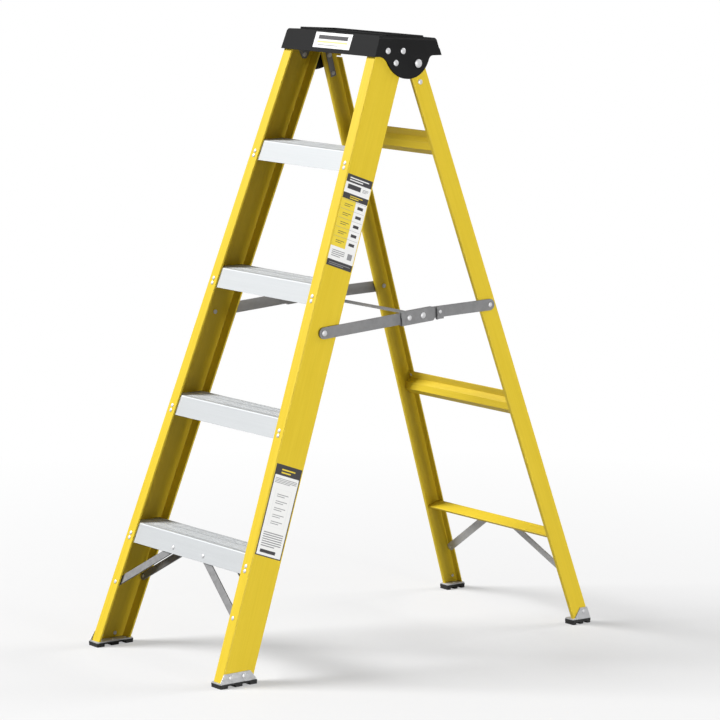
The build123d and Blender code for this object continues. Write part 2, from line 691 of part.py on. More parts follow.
def foot_pad(pad, height):
    """Rubber pad with a row of lugs under it, a little smaller than the pad."""
    x0, x1, y0, y1 = pad
    body = block(x0, x1, y0, y1, PAD_LUG_HEIGHT, height)
    body = fillet(body.edges().filter_by(Axis.Z), 3.0)
    edge = PAD_LUG_INSET
    length = (y1 - y0) / (PAD_LUGS + PAD_LUG_GAP * (PAD_LUGS - 1))
    for i in range(PAD_LUGS):
        start = y0 + (1 + PAD_LUG_GAP) * i * length
        lug = block(x0 + edge, x1 - edge, start + edge, start + length - edge, 0, PAD_LUG_HEIGHT + 0.5)
        body += fillet(lug.edges().filter_by(Axis.Z), 2.0)
    return body


def foot_rivets(plane, places, wall, head=RIVET_HEAD):
    grip = FOOT_WALL + wall
    return [Rivet(side_point(plane, y, z, FOOT_WALL), plane.x_dir, grip, head=head) for y, z in places]


def pad_screws(pad, pad_height, count):
    """Screws that hold the pad to the sole, with their heads inside the stile."""
    x0, _, y0, y1 = pad
    top = pad_height + FOOT_WALL
    shank, head, rise = PAD_SCREW
    screws = []
    for i in range(count):
        point = (x0 + PAD_SCREW_INSET, y0 + (y1 - y0) * (i + 0.5) / count, top)
        screws.append(Rivet(point, (0, 0, 1), FOOT_WALL + PAD_SCREW_REACH, shank, head, rise, shank))
    return screws


# ---------------------------------------------------------------- spreaders
def height_at(y):
    """Height of the links' centre lines at a given y."""
    rear = y > SPREADER_CENTRE[0]
    (y0, z0), (y1, z1) = (SPREADER_CENTRE, SPREADER_REAR_PIVOT) if rear else (SPREADER_FRONT_PIVOT,
                                                                              SPREADER_CENTRE)
    return z0 + (z1 - z0) * (y - y0) / (y1 - y0)


def line_point(y):
    return (y, height_at(y))


def tilt(start, end):
    return degrees(atan2(end[1] - start[1], end[0] - start[0]))


TIE_POINT = line_point(TIE_Y)
TAB_RIVET = line_point((STOP_TAB[0] + STOP_TAB[1]) / 2 + 1)
FRONT_TILT = tilt(SPREADER_FRONT_PIVOT, SPREADER_CENTRE)
REAR_TILT = tilt(SPREADER_CENTRE, SPREADER_REAR_PIVOT)


def link_block(turn, y0, y1, x0, x1, low, high):
    """A box along a link that is tilted by turn: limits in y, in x, and off its centre line."""
    frame = Pos(0, *SPREADER_CENTRE) * Rot(turn, 0, 0)
    scale = 1 / cos(radians(turn))
    start, end = ((y - SPREADER_CENTRE[0]) * scale for y in (y0, y1))
    return frame * block(x0, x1, start, end, low, high)


def spreader_front_link():
    bar = strip(Plane.YZ, SPREADER_FRONT_PIVOT, SPREADER_CENTRE, SPREADER_WIDTH,
                SPREADER_FRONT_X, SPREADER_FRONT_X + SPREADER_WALL)
    bar -= cylinder((0, *SPREADER_FRONT_PIVOT), (1, 0, 0), PIVOT_SHANK + RUNNING_GAP, 0, FAR)
    bar -= cylinder((0, *SPREADER_CENTRE), (1, 0, 0), PIVOT_SHANK, 0, FAR)
    return bar - cylinder((0, *TIE_POINT), (1, 0, 0), RIVET_SHANK, 0, FAR)


def spreader_rear_link():
    """Flat bar that steps inwards behind the hinge to reach the narrower rear stile."""
    start = SPREADER_CENTRE[0] - SPREADER_WIDTH
    end = SPREADER_REAR_PIVOT[0] + SPREADER_WIDTH
    silhouette = strip(Plane.YZ, SPREADER_CENTRE, SPREADER_REAR_PIVOT, SPREADER_WIDTH, 0, FAR)
    wall = SPREADER_WALL
    jog = [(JOG[0], SPREADER_CENTRE_X), (JOG[1], SPREADER_REAR_X)]
    outline = [(start, SPREADER_CENTRE_X), *jog, (end, SPREADER_REAR_X), (end, SPREADER_REAR_X + wall)]
    outline += [(JOG[1] + 1, SPREADER_REAR_X + wall), (JOG[0] + 1, SPREADER_CENTRE_X + wall)]
    outline += [(start, SPREADER_CENTRE_X + wall)]
    section = polygon([(x, y) for y, x in outline])
    bar = extrude(section, amount=2 * SPREADER_WIDTH, both=True)
    bar = Pos(0, 0, SPREADER_CENTRE[1]) * bar & silhouette
    bar -= cylinder((0, *SPREADER_CENTRE), (1, 0, 0), PIVOT_SHANK + RUNNING_GAP, 0, FAR)
    bar -= cylinder((0, *SPREADER_REAR_PIVOT), (1, 0, 0), PIVOT_SHANK, 0, FAR)
    return bar - cylinder((0, *TAB_RIVET), (1, 0, 0), RIVET_SHANK, 0, FAR)


def spreader_cover():
    """Channel over the end of the front link, its edges turned in round the link."""
    half = SPREADER_WIDTH / 2
    outer = half + COVER_WALL
    shell = link_block(FRONT_TILT, *COVER, *COVER_X, -outer, outer)
    corners = shell.edges().filter_by(Axis.X).group_by(Axis.Y)
    shell = fillet(corners[-1] + corners[-2], 7.0)
    inside = link_block(FRONT_TILT, COVER[0] - 5, COVER[1] + 5, COVER_X[0] - 5, COVER_X[1] - COVER_WALL,
                        -half, half)
    shell = shell - inside
    shell -= cylinder((0, *SPREADER_CENTRE), (1, 0, 0), PIVOT_SHANK, 0, FAR)
    return shell - cylinder((0, *TIE_POINT), (1, 0, 0), RIVET_SHANK, 0, FAR)


def spreader_tie_bar():
    """Flat bar between the two spreaders, its ends turned down against the front links."""
    half = TIE_WIDTH / 2
    y0, y1 = TIE_Y - half, TIE_Y + half
    top = TIE_RISE + TIE_WALL
    bar = link_block(FRONT_TILT, y0, y1, -SPREADER_FRONT_X, SPREADER_FRONT_X, TIE_RISE, top)
    inner = SPREADER_FRONT_X - TIE_WALL
    end = link_block(FRONT_TILT, y0, y1, inner, SPREADER_FRONT_X, -TIE_TURN, TIE_RISE + 1)
    bar = bar + end + mirrored(end)
    return bar - cylinder((0, *TIE_POINT), (1, 0, 0), RIVET_SHANK, FAR, FAR)


def stop_tab():
    """Small plate on the rear link, with a lip at the front, that stops the spreader going over."""
    x0 = SPREADER_REAR_X + SPREADER_WALL
    start, end = STOP_TAB
    half = SPREADER_WIDTH / 2
    plate = link_block(REAR_TILT, start, end, x0, x0 + TAB_WALL, -half - TAB_DROP, half)
    lip = link_block(REAR_TILT, start, start + TAB_WALL, x0, x0 + TAB_LIP, -half - TAB_DROP, half)
    return plate + lip - cylinder((0, *TAB_RIVET), (1, 0, 0), RIVET_SHANK, 0, FAR)


def stepped_pin(point, steps):
    """A turned pin along X: each step is the radius held up to the next value of x."""
    y, z = point
    pin = None
    for (x0, radius), (x1, _) in zip(steps, steps[1:]):
        piece = cylinder((x0, y, z), (1, 0, 0), radius, 0, x1 - x0)
        pin = piece if pin is None else pin + piece
    return pin


def domed(point, x, head, rise):
    """A domed head on a pin, facing outward from x."""
    face = make_face([*head_outline(head, rise), Polyline((head, 0), (0, 0), (0, rise))])
    return Plane(origin=(x, *point), z_dir=(1, 0, 0)) * revolve(Plane.XZ * face, axis=Axis.Z)


def spreader_front_pivot():
    """Pin fixed in the front stile's web; the front link turns on it."""
    web = web_x(FRONT, *SPREADER_FRONT_PIVOT)
    face = SPREADER_FRONT_X + SPREADER_WALL + FACE_GAP
    inside = web - FRONT_WALL - WEB_LEAN
    tail, tail_wall = PIN_TAIL
    steps = [(inside - tail_wall, tail), (inside, PIVOT_SHANK), (web + WEB_LEAN, PIN_COLLAR)]
    steps += [(SPREADER_FRONT_X - FACE_GAP, PIVOT_SHANK), (face, 0)]
    return stepped_pin(SPREADER_FRONT_PIVOT, steps) + domed(SPREADER_FRONT_PIVOT, face, *FRONT_PIVOT_HEAD)


def spreader_centre_pin():
    """Pin fixed in the front link and its cover; the rear link turns on it."""
    outer = COVER_X[1]
    tail, tail_wall = PIN_TAIL
    inside = SPREADER_CENTRE_X - FACE_GAP
    steps = [(inside - tail_wall, tail), (inside, PIVOT_SHANK)]
    steps += [(SPREADER_CENTRE_X + SPREADER_WALL + FACE_GAP, PIN_COLLAR), (SPREADER_FRONT_X, PIVOT_SHANK)]
    steps += [(SPREADER_FRONT_X + SPREADER_WALL, tail), (outer - COVER_WALL, PIVOT_SHANK), (outer, 0)]
    return stepped_pin(SPREADER_CENTRE, steps) + domed(SPREADER_CENTRE, outer, *CENTRE_PIN_HEAD)


def spreader_cover_rivet():
    """Rivet through the cover, the front link and the tie bar's turned end."""
    outer = COVER_X[1]
    tail, _ = PIN_TAIL
    steps = [(SPREADER_FRONT_X - TIE_WALL, RIVET_SHANK), (SPREADER_FRONT_X + SPREADER_WALL, tail)]
    steps += [(outer - COVER_WALL, RIVET_SHANK), (outer, 0)]
    return stepped_pin(TIE_POINT, steps) + domed(TIE_POINT, outer, *COVER_RIVET_HEAD)


def spreader_rear_pivot():
    """Pin in the rear stile's web, ending in a washer face just inside the rear link."""
    web = web_x(REAR, *SPREADER_REAR_PIVOT)
    inside = web - REAR_WALL - WEB_LEAN
    tail, tail_wall = PIN_TAIL
    steps = [(inside - tail_wall, tail), (inside, PIVOT_SHANK), (web + WEB_LEAN, PIN_COLLAR)]
    steps += [(SPREADER_REAR_X - OPEN_PIVOT_GAP, 0)]
    return stepped_pin(SPREADER_REAR_PIVOT, steps)


def spreader_rear_rivets():
    """The rear link's pivot head and the rivet of its stop tab."""
    outer = SPREADER_REAR_X + SPREADER_WALL
    head = stepped_pin(SPREADER_REAR_PIVOT, [(SPREADER_REAR_X, PIVOT_SHANK), (outer, 0)])
    head += domed(SPREADER_REAR_PIVOT, outer, *REAR_PIVOT_HEAD)
    face = outer + TAB_WALL
    tab = stepped_pin(TAB_RIVET, [(SPREADER_REAR_X, RIVET_SHANK), (face, 0)])
    return [head, tab + domed(TAB_RIVET, face, *TAB_RIVET_HEAD)]


# ---------------------------------------------------------------- labels
def stile_label(height, length):
    middle = along(height, FRONT_SLOPE, FRONT_TAPER)
    return FRONT * Pos(LABEL_THICKNESS / 2, FRONT_DEPTH / 2, middle) * Box(
        LABEL_THICKNESS, LABEL_WIDTH, length)


def cap_label():
    width, height, x, start = CAP_LABEL
    face = Plane(origin=(x, CAP_FRONT + FRONT_SLOPE * (start - CAP_BOTTOM), start),
                 x_dir=(1, 0, 0), z_dir=FRONT_FACE.z_dir)
    return face * Pos(0, height / 2, LABEL_THICKNESS / 2) * Box(width, height, LABEL_THICKNESS)


# ---------------------------------------------------------------- the whole ladder
def front_frame_nodes():
    treads = tread_rivets()
    braces = tread_brace_rivets()
    cap = cap_rivets()
    bolt = HingeBolt()
    feet = foot_rivets(FRONT, FRONT_FOOT_RIVETS, FRONT_WALL, FRONT_FOOT_RIVET_HEAD)
    screws = pad_screws(FRONT_PAD, FRONT_PAD_HEIGHT, 3)
    pivot_hole = cylinder((0, *SPREADER_FRONT_PIVOT), (1, 0, 0), PIVOT_SHANK, 0, FAR)

    nodes = {}
    nodes.update(pair("front_stile", drill(front_stile(), treads + braces + cap + feet) - pivot_hole))
    section = tread_section()
    for number in range(1, TREADS + 1):
        own = treads[4 * (number - 1):4 * number] + (braces if number == 1 else [])
        step = tread(number, section)
        for hole in both_holes(own):
            step -= hole
        nodes[f"tread_{number}"] = step
    nodes["tread_rivets"] = both([rivet.solid for rivet in treads])
    nodes.update(pair("tread_brace_front", drill(tread_brace(False), braces)))
    nodes.update(pair("tread_brace_rear", drill(tread_brace(True), braces)))
    nodes["tread_brace_rivets"] = both([rivet.solid for rivet in braces])
    nodes["top_cap"] = top_cap(cap, [bolt])
    nodes.update(pair("cap_backing_plate", drill(cap_backing_plate(), cap)))
    nodes["cap_rivets"] = both([rivet.solid for rivet in cap])
    nodes["hinge_bolts"] = both([bolt.solid])
    nodes["hinge_bushes"] = both([hinge_bush()])
    bracket = foot_bracket(FRONT, FRONT_PAD, FRONT_PAD_HEIGHT, FRONT_FOOT_PLATE)
    nodes.update(pair("front_foot_bracket", drill(bracket, feet + screws)))
    nodes.update(pair("front_foot_pad", drill(foot_pad(FRONT_PAD, FRONT_PAD_HEIGHT), screws)))
    nodes["front_foot_rivets"] = both([rivet.solid for rivet in feet])
    nodes["front_pad_screws"] = both([screw.solid for screw in screws])
    nodes["spreader_front_pivots"] = both([spreader_front_pivot()])
    for name, (height, length) in LABELS.items():
        nodes[name] = stile_label(height, length)
    nodes["label_cap"] = cap_label()
    return nodes


def rear_frame_nodes():
    rivets = rear_rivets()
    bolt = HingeBolt()
    strap = strap_rivet()
    feet = foot_rivets(REAR, REAR_FOOT_RIVETS, REAR_WALL)
    screws = pad_screws(REAR_PAD, REAR_PAD_HEIGHT, 1)
    pivot_hole = cylinder((0, *SPREADER_REAR_PIVOT), (1, 0, 0), PIVOT_SHANK, 0, FAR)
    bolt_hole = bolt.hole(RUNNING_GAP)

    nodes = {}
    side = drill(rear_stile(), rivets + [strap] + feet) - pivot_hole - bolt_hole
    nodes.update(pair("rear_stile", side))
    rails = {
        "rear_rail_top": beaded_rail(RAIL_TOP_HEIGHT),
        "rear_rail_middle": beaded_rail(RAIL_MIDDLE_HEIGHT),
        "rear_rail_bottom": flat_rail(RAIL_BOTTOM_HEIGHT),
    }
    for name, bar in rails.items():
        for hole in both_holes(rivets):
            bar -= hole
        nodes[name] = bar
    nodes.update(pair("rear_brace", drill(rear_brace(), rivets)))
    nodes["rear_frame_rivets"] = both([rivet.solid for rivet in rivets])
    nodes.update(pair("hinge_strap", drill(hinge_strap(), [strap]) - bolt_hole))
    nodes["hinge_strap_rivets"] = both([strap.solid])
    bracket = foot_bracket(REAR, REAR_PAD, REAR_PAD_HEIGHT, REAR_FOOT_PLATE)
    nodes.update(pair("rear_foot_bracket", drill(bracket, feet + screws)))
    nodes.update(pair("rear_foot_pad", drill(foot_pad(REAR_PAD, REAR_PAD_HEIGHT), screws)))
    nodes["rear_foot_rivets"] = both([rivet.solid for rivet in feet])
    nodes["rear_pad_screws"] = both([screw.solid for screw in screws])
    nodes["spreader_rear_pivots"] = both([spreader_rear_pivot()])
    return nodes


def spreader_nodes():
    nodes = {}
    nodes.update(pair("spreader_front_link", spreader_front_link()))
    nodes.update(pair("spreader_cover", spreader_cover()))
    nodes["spreader_tie_bar"] = spreader_tie_bar()
    nodes["spreader_centre_pins"] = both([spreader_centre_pin()])
    nodes["spreader_cover_rivets"] = both([spreader_cover_rivet()])
    nodes.update(pair("spreader_rear_link", spreader_rear_link()))
    nodes.update(pair("spreader_stop_tab", stop_tab()))
    rivets = spreader_rear_rivets()
    nodes["spreader_rear_rivets_right"] = rivets
    nodes["spreader_rear_rivets_left"] = [mirrored(rivet) for rivet in rivets]
    return nodes


def write_nodes(nodes):
    os.makedirs("parts", exist_ok=True)
    for name, shape in nodes.items():
        whole = group(shape) if isinstance(shape, list) else shape
        export_step(whole, f"parts/{name}.step")


write_nodes({**front_frame_nodes(), **rear_frame_nodes(), **spreader_nodes()})
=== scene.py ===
"""Looks of the platform step ladder: a procedural material for every piece, the printed labels'
plain colour blocks, the studio light, the floor and the camera. All lengths are in metres.
"""
import math

import bpy
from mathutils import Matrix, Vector


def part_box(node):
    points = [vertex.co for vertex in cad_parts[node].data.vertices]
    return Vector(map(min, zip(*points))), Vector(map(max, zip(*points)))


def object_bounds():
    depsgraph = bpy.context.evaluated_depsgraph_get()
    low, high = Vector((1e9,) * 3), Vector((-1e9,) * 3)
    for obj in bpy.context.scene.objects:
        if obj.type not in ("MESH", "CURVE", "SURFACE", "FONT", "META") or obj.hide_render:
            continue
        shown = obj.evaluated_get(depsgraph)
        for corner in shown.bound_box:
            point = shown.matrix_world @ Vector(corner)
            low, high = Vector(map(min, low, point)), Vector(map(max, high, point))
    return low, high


MM = 0.001
X_AXIS = Vector((1, 0, 0))
Z_AXIS = Vector((0, 0, 1))

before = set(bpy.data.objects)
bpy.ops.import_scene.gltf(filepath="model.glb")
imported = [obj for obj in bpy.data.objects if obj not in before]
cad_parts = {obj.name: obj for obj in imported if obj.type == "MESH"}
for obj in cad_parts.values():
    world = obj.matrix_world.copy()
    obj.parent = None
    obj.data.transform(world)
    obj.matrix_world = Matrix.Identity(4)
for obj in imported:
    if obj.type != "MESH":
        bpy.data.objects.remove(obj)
cad_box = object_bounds()


# ---------------------------------------------------------------- reading directions off the frame
def outline_edges(node):
    """Edges of a CAD node where its surface turns, as vectors, the longest first."""
    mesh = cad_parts[node].data
    normals = {}
    for face in mesh.polygons:
        for key in face.edge_keys:
            normals.setdefault(key, []).append(face.normal)
    edges = []
    for (a, b), sides in normals.items():
        if len(sides) == 2 and sides[0].dot(sides[1]) > 0.999:
            continue
        edges.append(mesh.vertices[b].co - mesh.vertices[a].co)
    return sorted(edges, key=lambda edge: -edge.length)


def long_axis(node):
    """Unit vector along the node's longest edge, pointing up or towards +X."""
    axis = outline_edges(node)[0].normalized()
    lead = axis.z if abs(axis.z) > 0.5 else axis.x
    return axis if lead > 0 else -axis


def middle(node):
    low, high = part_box(node)
    return (low + high) / 2


# ---------------------------------------------------------------- building node materials
class Paint:
    """A node material under construction. Each method adds a node and returns the socket it makes."""

    def __init__(self, name):
        self.block = bpy.data.materials.new(name)
        self.block.use_nodes = True
        self.nodes = self.block.node_tree.nodes
        self.links = self.block.node_tree.links
        self.shader = self.nodes["Principled BSDF"]
        self.place = self.nodes.new("ShaderNodeTexCoord").outputs["Object"]
        self.geometry = self.nodes.new("ShaderNodeNewGeometry").outputs

    def put(self, socket, value):
        if isinstance(value, bpy.types.NodeSocket):
            self.links.new(value, socket)
        elif isinstance(value, tuple) and len(value) == 3 and len(socket.default_value) == 4:
            socket.default_value = (*value, 1.0)
        else:
            socket.default_value = value

    def math(self, operation, a, b=0.0, clamp=False):
        node = self.nodes.new("ShaderNodeMath")
        node.operation = operation
        node.use_clamp = clamp
        self.put(node.inputs[0], a)
        self.put(node.inputs[1], b)
        return node.outputs[0]

    def dot(self, vector, axis):
        node = self.nodes.new("ShaderNodeVectorMath")
        node.operation = "DOT_PRODUCT"
        self.put(node.inputs[0], vector)
        self.put(node.inputs[1], tuple(axis) if isinstance(axis, Vector) else axis)
        return node.outputs["Value"]

    def distance_along(self, axis, centre=Vector()):
        """Signed distance from a centre, measured along an axis."""
        return self.math("SUBTRACT", self.dot(self.place, axis), centre.dot(axis))

    def combine(self, x, y, z):
        node = self.nodes.new("ShaderNodeCombineXYZ")
        for socket, value in zip(node.inputs, (x, y, z)):
            self.put(socket, value)
        return node.outputs[0]

    def stretched(self, axis, along, across):
        """Coordinates whose scale differs along an axis and across it: features per metre."""
        side = axis.cross(X_AXIS if abs(axis.x) < 0.9 else Z_AXIS).normalized()
        other = axis.cross(side)
        parts = [self.math("MULTIPLY", self.dot(self.place, d), scale)
                 for d, scale in ((axis, along), (side, across), (other, across))]
        return self.combine(*parts)

    def noise(self, vector, scale, detail=2.0, roughness=0.5):
        node = self.nodes.new("ShaderNodeTexNoise")
        self.put(node.inputs["Vector"], vector)
        self.put(node.inputs["Scale"], scale)
        self.put(node.inputs["Detail"], detail)
        self.put(node.inputs["Roughness"], roughness)
        return node.outputs["Fac"]

    def cells(self, scale, output="Color"):
        node = self.nodes.new("ShaderNodeTexVoronoi")
        self.put(node.inputs["Vector"], self.place)
        self.put(node.inputs["Scale"], scale)
        return node.outputs[output]

    def remap(self, value, low, high, to_low=0.0, to_high=1.0):
        node = self.nodes.new("ShaderNodeMapRange")
        for name, number in (("From Min", low), ("From Max", high), ("To Min", to_low), ("To Max", to_high)):
            self.put(node.inputs[name], number)
        self.put(node.inputs["Value"], value)
        return node.outputs["Result"]

    def mix(self, factor, a, b):
        node = self.nodes.new("ShaderNodeMix")
        node.data_type = "RGBA"
        self.put(node.inputs["Factor"], factor)
        self.put(node.inputs["A"], a)
        self.put(node.inputs["B"], b)
        return node.outputs["Result"]

    def rounded(self, radius):
        """The surface normal with every sharp edge rounded off."""
        node = self.nodes.new("ShaderNodeBevel")
        node.samples = 4
        self.put(node.inputs["Radius"], radius)
        return node.outputs["Normal"]

    def edges(self, radius, gain=4.0):
        """Nearly 1 on sharp edges and 0 on flat faces."""
        turn = self.math("SUBTRACT", 1.0, self.dot(self.rounded(radius), self.geometry["Normal"]))
        return self.math("MULTIPLY", turn, gain, clamp=True)

    def recess(self, distance):
        """1 on open faces, falling towards 0 in narrow grooves of the same piece."""
        node = self.nodes.new("ShaderNodeAmbientOcclusion")
        node.samples = 8
        node.only_local = True
        self.put(node.inputs["Distance"], distance)
        return node.outputs["AO"]

    def bump(self, height, distance, strength=1.0, normal=None):
        node = self.nodes.new("ShaderNodeBump")
        self.put(node.inputs["Height"], height)
        self.put(node.inputs["Distance"], distance)
        self.put(node.inputs["Strength"], strength)
        if normal is not None:
            self.put(node.inputs["Normal"], normal)
        return node.outputs["Normal"]

    def finish(self, color, roughness, normal=None, metallic=0.0, **extra):
        inputs = self.shader.inputs
        self.put(inputs["Base Color"], color)
        self.put(inputs["Roughness"], roughness)
        self.put(inputs["Metallic"], metallic)
        if normal is not None:
            self.put(inputs["Normal"], normal)
        for name, value in extra.items():
            self.put(inputs[name.replace("_", " ")], value)
        return self.block


def dress(material, *nodes):
    for name in nodes:
        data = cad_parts[name].data
        data.materials.clear()
        data.materials.append(material)


# ---------------------------------------------------------------- yellow fibreglass
YELLOW = (0.67, 0.492, 0.024)
YELLOW_DEEP = (0.63, 0.455, 0.019)
YELLOW_PALE = (0.72, 0.545, 0.045)
CUT_GLASS = (0.70, 0.57, 0.18)


def fibreglass(name, axis):
    """Pultruded section: rovings run along it under a thin surface mat, and its cut ends are dull."""
    paint = Paint(name)
    rovings = paint.noise(paint.stretched(axis, 7, 620), 1.0, 3.0, 0.6)
    bands = paint.noise(paint.stretched(axis, 1.3, 40), 1.0, 2.0)
    mat = paint.noise(paint.stretched(axis, 160, 900), 1.0, 2.0, 0.7)
    color = paint.mix(paint.remap(rovings, 0.36, 0.64), YELLOW_DEEP, YELLOW)
    color = paint.mix(paint.remap(bands, 0.40, 0.78, 0.0, 0.22), color, YELLOW_PALE)
    edge = paint.edges(0.7 * MM)
    color = paint.mix(paint.math("MULTIPLY", edge, 0.18), color, YELLOW_PALE)
    end = paint.math("ABSOLUTE", paint.dot(paint.geometry["Normal"], axis))
    end = paint.remap(end, 0.80, 0.88)
    color = paint.mix(end, color, paint.mix(paint.remap(mat, 0.4, 0.6), CUT_GLASS, YELLOW_DEEP))
    roughness = paint.remap(rovings, 0.3, 0.7, 0.34, 0.46)
    roughness = paint.math("ADD", roughness, paint.math("MULTIPLY", end, 0.35), clamp=True)
    normal = paint.rounded(0.8 * MM)
    normal = paint.bump(rovings, 0.05 * MM, 0.55, normal)
    normal = paint.bump(mat, 0.02 * MM, 0.5, normal)
    return paint.finish(color, roughness, normal, Specular_IOR_Level=0.28)


def dress_fibreglass():
    for stile in ("front_stile_left", "front_stile_right", "rear_stile_left", "rear_stile_right"):
        dress(fibreglass("fibreglass_" + stile, long_axis(stile)), stile)
    dress(fibreglass("fibreglass_rails", X_AXIS), "rear_rail_top", "rear_rail_middle", "rear_rail_bottom")


# ---------------------------------------------------------------- metals
ALUMINIUM_DULL = (0.425, 0.440, 0.450)
ALUMINIUM_BRIGHT = (0.47, 0.485, 0.495)
ALUMINIUM_WORN = (0.58, 0.59, 0.60)
# painted shade: the dark colour laid into the tread's grooves where they lie in shadow
GROOVE_SHADE = (0.22, 0.225, 0.23)
GROOVE_REACH = 2.5 * MM
RIVET_DULL = (0.54, 0.54, 0.55)
RIVET_BRIGHT = (0.61, 0.61, 0.62)
PART_METAL = 0.35           # oxide and grime keep bare metal from acting as a mirror
ZINC_METAL = 0.40
ZINC = {                    # dark crystals, light crystals, roughness
    "galvanised_strip": ((0.205, 0.205, 0.208), (0.235, 0.235, 0.238), 0.52),
    # painted light: the rear braces are the same galvanised steel as the strips, and their lighter tone
    # stands in for light on their faces
    "rear_brace": ((0.44, 0.44, 0.445), (0.50, 0.50, 0.505), 0.50),
    "foot_plate": ((0.47, 0.475, 0.485), (0.53, 0.535, 0.545), 0.45),
}
ZINC_CRYSTALS = 150.0       # per metre
ZINC_WORN = 1.35            # how much brighter its edges are


def tread_aluminium():
    """Extruded and lightly brushed: die lines run across the ladder, and the raised ribs are worn bright."""
    paint = Paint("tread_aluminium")
    lines = paint.noise(paint.stretched(X_AXIS, 4, 2600), 1.0, 2.0, 0.7)
    broad = paint.noise(paint.stretched(X_AXIS, 2, 60), 1.0, 2.0)
    smudge = paint.noise(paint.place, 22, 4.0, 0.6)
    color = paint.mix(paint.remap(lines, 0.3, 0.7), ALUMINIUM_DULL, ALUMINIUM_BRIGHT)
    color = paint.mix(paint.math("MULTIPLY", paint.edges(0.5 * MM), 0.4), color, ALUMINIUM_WORN)
    # painted shade: the grooves are darkened through an occlusion mask so they read as dark lines
    color = paint.mix(paint.remap(paint.recess(GROOVE_REACH), 0.08, 0.42), GROOVE_SHADE, color)
    roughness = paint.remap(broad, 0.3, 0.7, 0.50, 0.58)
    roughness = paint.math("ADD", roughness, paint.remap(smudge, 0.5, 0.8, 0.0, 0.05))
    normal = paint.bump(lines, 0.03 * MM, 0.6, paint.rounded(0.5 * MM))
    return paint.finish(color, roughness, normal, PART_METAL)


def galvanised(name):
    """Zinc-coated steel: faint crystals a few millimetres across under a fine rolled grain."""
    dark, light, roughness = ZINC[name]
    paint = Paint(name)
    split = paint.nodes.new("ShaderNodeSeparateColor")
    paint.put(split.inputs[0], paint.cells(ZINC_CRYSTALS))
    crystal = split.outputs[0]
    grain = paint.noise(paint.place, 2400, 2.0, 0.7)
    stain = paint.noise(paint.place, 30, 3.0, 0.6)
    tone = paint.math("ADD", paint.math("MULTIPLY", crystal, 0.5), paint.math("MULTIPLY", stain, 0.5))
    color = paint.mix(paint.remap(tone, 0.2, 0.8), dark, light)
    edge = paint.edges(0.5 * MM)
    color = paint.mix(paint.math("MULTIPLY", edge, 0.45), color, tuple(v * ZINC_WORN for v in light))
    rough = paint.remap(crystal, 0.0, 1.0, roughness - 0.06, roughness + 0.06)
    normal = paint.bump(grain, 0.02 * MM, 0.5, paint.rounded(0.5 * MM))
    return paint.finish(color, rough, normal, ZINC_METAL)


def rivet_metal():
    """Bright zinc-plated heads with a faint patchy sheen and small scuffs."""
    paint = Paint("rivet_metal")
    scuff = paint.noise(paint.place, 900, 3.0, 0.7)
    color = paint.mix(paint.remap(scuff, 0.35, 0.65), RIVET_DULL, RIVET_BRIGHT)
    roughness = paint.remap(scuff, 0.3, 0.7, 0.42, 0.54)
    normal = paint.bump(scuff, 0.05 * MM, 0.35, paint.rounded(0.3 * MM))
    return paint.finish(color, roughness, normal, PART_METAL)


def dress_metals():
    dress(tread_aluminium(), "tread_1", "tread_2", "tread_3", "tread_4")
    strips, braces, plates = (galvanised(name) for name in ZINC)
    rivets = rivet_metal()
    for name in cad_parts:
        if any(word in name for word in ("rivets", "screws", "pins", "pivots", "bolts")):
            dress(rivets, name)
        elif "foot_bracket" in name:
            dress(plates, name)
        elif "rear_brace_" in name:
            dress(braces, name)
        elif any(word in name for word in ("brace", "spreader", "strap", "backing_plate")):
            dress(strips, name)


# ---------------------------------------------------------------- plastic and rubber
CAP_BLACK = (0.008, 0.008, 0.0084)
CAP_SOFT_BLACK = (0.011, 0.011, 0.0114)
# edge colour: partly rubbed wear, partly a painted highlight
CAP_WORN_EDGE_AND_HIGHLIGHT = (0.06, 0.06, 0.062)
RUBBER = (0.010, 0.010, 0.010)
RUBBER_DUST = (0.055, 0.053, 0.050)
NYLON_DARK = (0.70, 0.68, 0.62)
NYLON_LIGHT = (0.78, 0.76, 0.71)


def cap_plastic():
    """Moulded black plastic: a fine pebbled grain, with edges rubbed a little paler; the paler edges also
    serve as a painted highlight along them.
    """
    paint = Paint("cap_plastic")
    pebble = paint.cells(1500.0, "Distance")
    flow = paint.noise(paint.place, 14, 3.0, 0.5)
    color = paint.mix(paint.remap(flow, 0.3, 0.7), CAP_BLACK, CAP_SOFT_BLACK)
    # paler edges: rubbed wear together with a painted highlight
    color = paint.mix(paint.math("MULTIPLY", paint.edges(0.9 * MM), 0.5), color, CAP_WORN_EDGE_AND_HIGHLIGHT)
    roughness = paint.remap(flow, 0.3, 0.7, 0.54, 0.62)
    normal = paint.bump(pebble, 0.06 * MM, 0.45, paint.rounded(0.9 * MM))
    return paint.finish(color, roughness, normal, Specular_IOR_Level=0.10)


def foot_rubber():
    """Black rubber, matt, with pale dust rubbed into it."""
    paint = Paint("foot_rubber")
    grain = paint.noise(paint.place, 1300, 3.0, 0.7)
    dust = paint.noise(paint.place, 70, 4.0, 0.65)
    color = paint.mix(paint.remap(dust, 0.52, 0.75, 0.0, 0.5), RUBBER, RUBBER_DUST)
    normal = paint.bump(grain, 0.08 * MM, 0.5, paint.rounded(0.7 * MM))
    return paint.finish(color, 0.74, normal)


def bush_nylon():
    paint = Paint("bush_nylon")
    cloud = paint.noise(paint.place, 300, 2.0)
    color = paint.mix(cloud, NYLON_DARK, NYLON_LIGHT)
    normal = paint.bump(cloud, 0.03 * MM, 0.4, paint.rounded(0.4 * MM))
    return paint.finish(color, 0.42, normal)


# ---------------------------------------------------------------- labels
WHITE = (0.80, 0.80, 0.79)
INK = (0.030, 0.028, 0.034)
LABEL_YELLOW = (0.76, 0.58, 0.03)
LINE_GREY = (0.24, 0.24, 0.25)
FRAME_GREY = (0.74, 0.75, 0.75)
STRIPE_GREEN = (0.62, 0.72, 0.24)
AGED_PAPER = (0.5, 0.48, 0.42)


